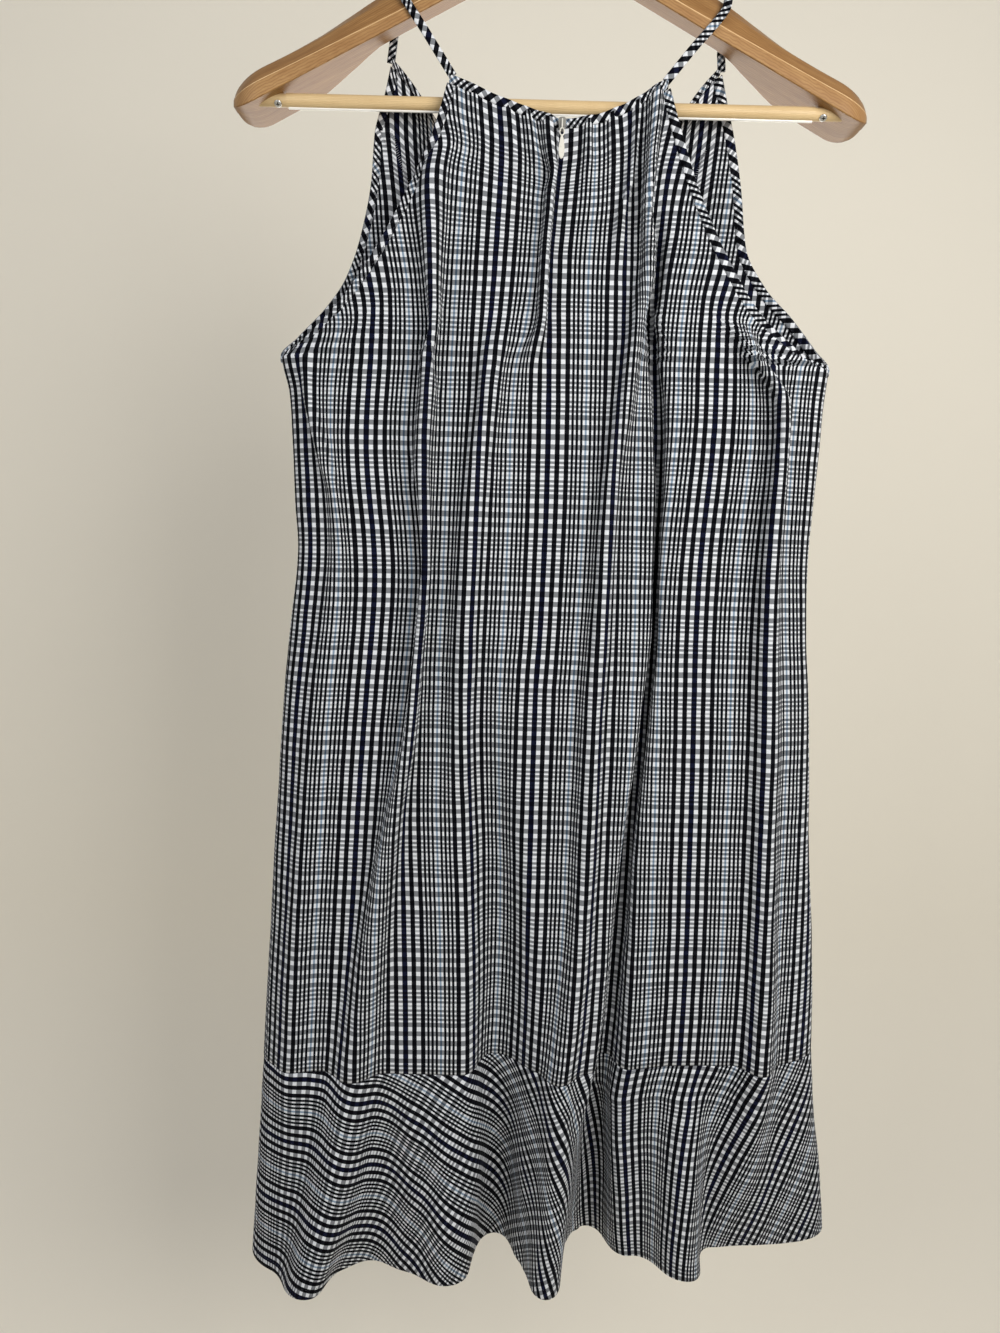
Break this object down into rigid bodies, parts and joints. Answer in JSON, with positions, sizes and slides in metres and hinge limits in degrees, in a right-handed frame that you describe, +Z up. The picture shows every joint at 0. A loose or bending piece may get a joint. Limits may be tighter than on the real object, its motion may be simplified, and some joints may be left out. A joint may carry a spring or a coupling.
{
  "type": "sundress on a wooden hanger",
  "caption": "Sleeveless knee-length checked dress with a flounced hem, thin bound straps and a back zip, hanging flat from a wooden hanger with a trouser bar and wire hook.",
  "frame": {"origin": "the inner top of the hanger's hook, where a rail holds it", "axes": "+Z up, +X to the right of someone who faces the dress's back, -Y out of the dress's back, toward the camera"},
  "size_m": [0.4757, 0.1133, 1.0719],
  "materials": {
    "check_cloth": "matte yarn-dyed plain weave check, off-white, black, royal blue and pale blue",
    "binding_cloth": "matte bias strips of the same check",
    "slider_metal": "ivory lacquer over metal",
    "pull_enamel": "smooth ivory enamel",
    "hanger_beech": "clear varnished, fine straight grain",
    "bar_dowel": "pale sanded dowel in a thin clear sleeve",
    "hook_steel": "bright plated wire",
    "screw_steel": "bright zinc"
  },
  "bodies": {
    "dress_on_hanger": {"back_left": "check_cloth", "back_right": "check_cloth", "front": "check_cloth", "back_flounce": "check_cloth", "front_flounce": "check_cloth", "neck_binding_back_left": "binding_cloth", "neck_binding_back_right": "binding_cloth", "neck_binding_front": "binding_cloth", "armhole_binding_left": "binding_cloth", "armhole_binding_right": "binding_cloth", "strap_left": "binding_cloth", "strap_right": "binding_cloth", "zip_slider": "slider_metal", "hanger_wood": "hanger_beech", "trouser_bar": "bar_dowel", "hanger_hook": "hook_steel", "bar_screw_left": "screw_steel", "bar_screw_right": "screw_steel"},
    "pull_tab": {"zip_pull": "pull_enamel"}
  },
  "joints": [
    {"name": "pull_tab_hinge", "type": "hinge", "parent": "dress_on_hanger", "child": "pull_tab", "pos_m": [0.0075, -0.02265, -0.2127], "axis": [-1, 0, 0], "range_deg": [0, 150]}
  ]
}
